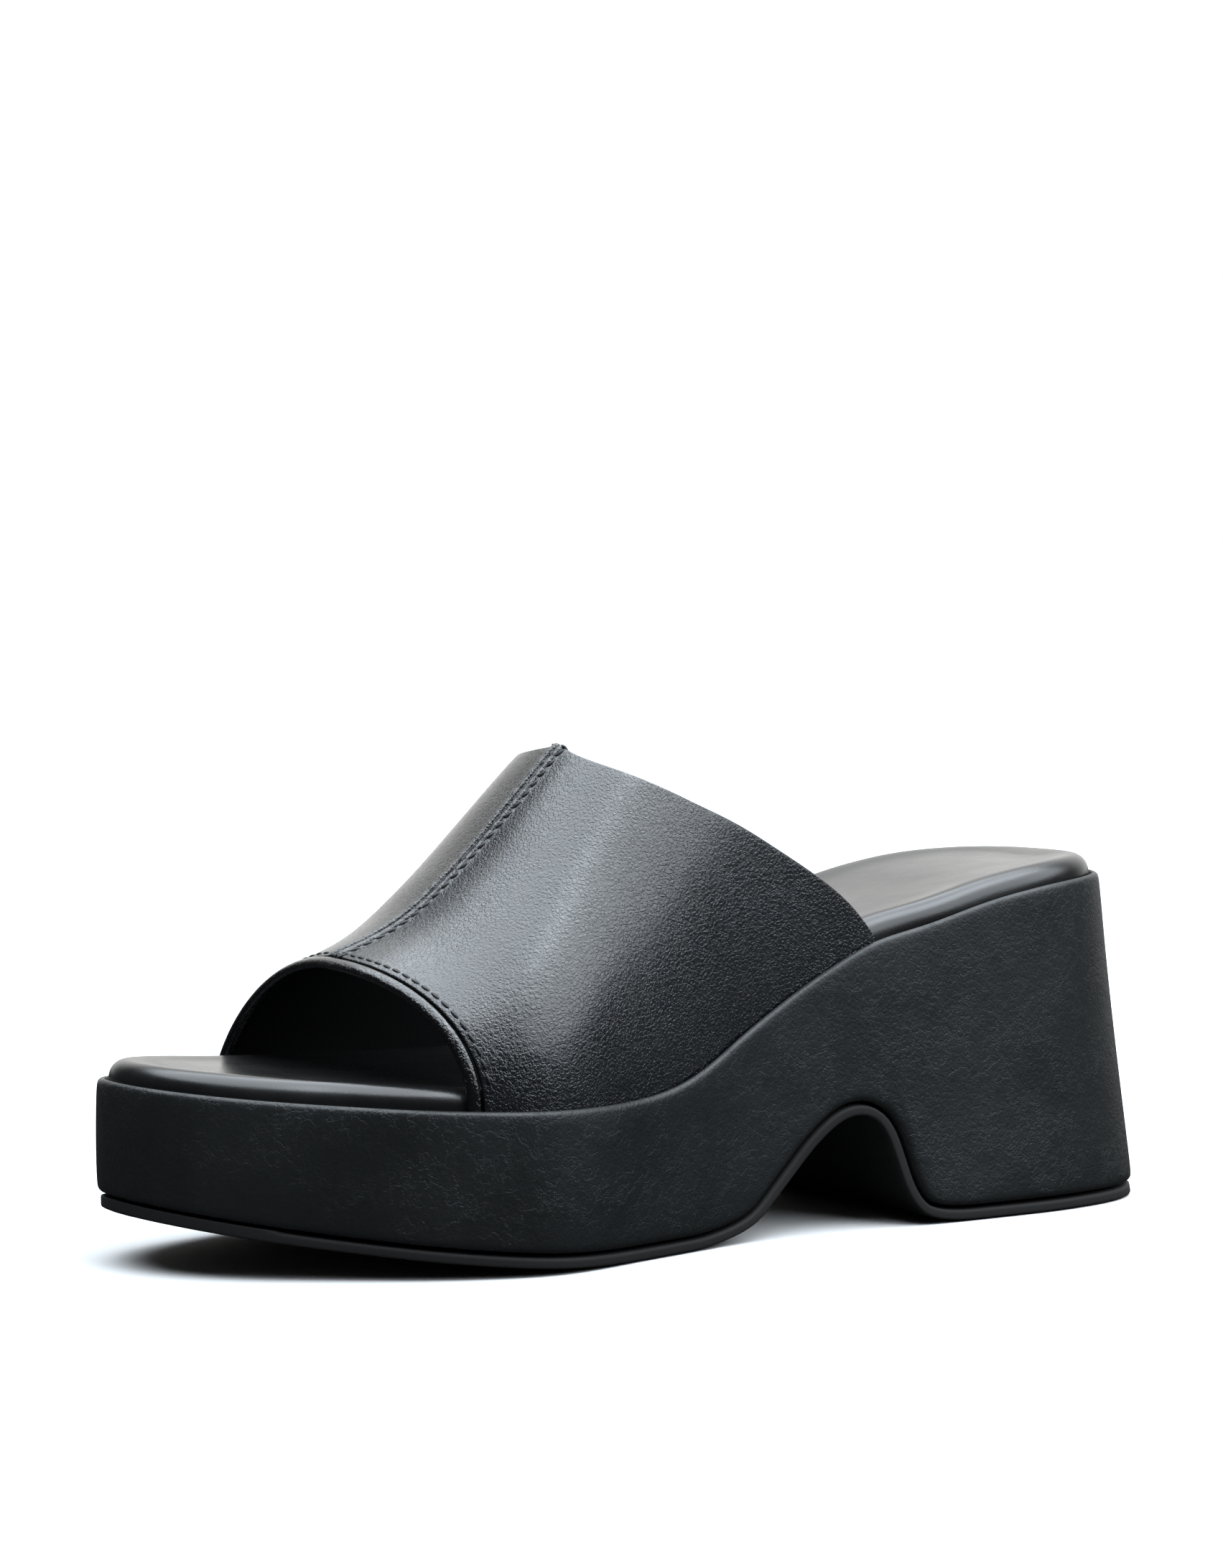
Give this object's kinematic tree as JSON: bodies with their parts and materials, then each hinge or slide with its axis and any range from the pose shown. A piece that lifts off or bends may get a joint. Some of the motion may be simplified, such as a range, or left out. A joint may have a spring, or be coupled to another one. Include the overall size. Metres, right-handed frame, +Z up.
{
  "type": "platform mule shoe",
  "caption": "Open-toe platform mule for the left foot: wide slip-on vamp band with a centre seam, padded footbed, wrapped platform with block heel and thin rubber outsole.",
  "frame": {"origin": "middle of the bounding box at the floor, under the outsole", "axes": "+X from heel to toe, +Y to the wearer's left (the outer side of this left shoe), +Z up"},
  "size_m": [0.2584, 0.0958, 0.1091],
  "materials": {
    "outsole": "matt black rubber",
    "platform": "satin black wrap leather with short creases",
    "footbed": "smooth satin black lining leather",
    "upper": "satin black leather with a fine pebble grain",
    "toe_binding": "satin black folded leather strip"
  },
  "bodies": {
    "root": {"outsole": "outsole", "platform": "platform", "footbed": "footbed", "upper": "upper", "toe_binding": "toe_binding"}
  },
  "joints": []
}
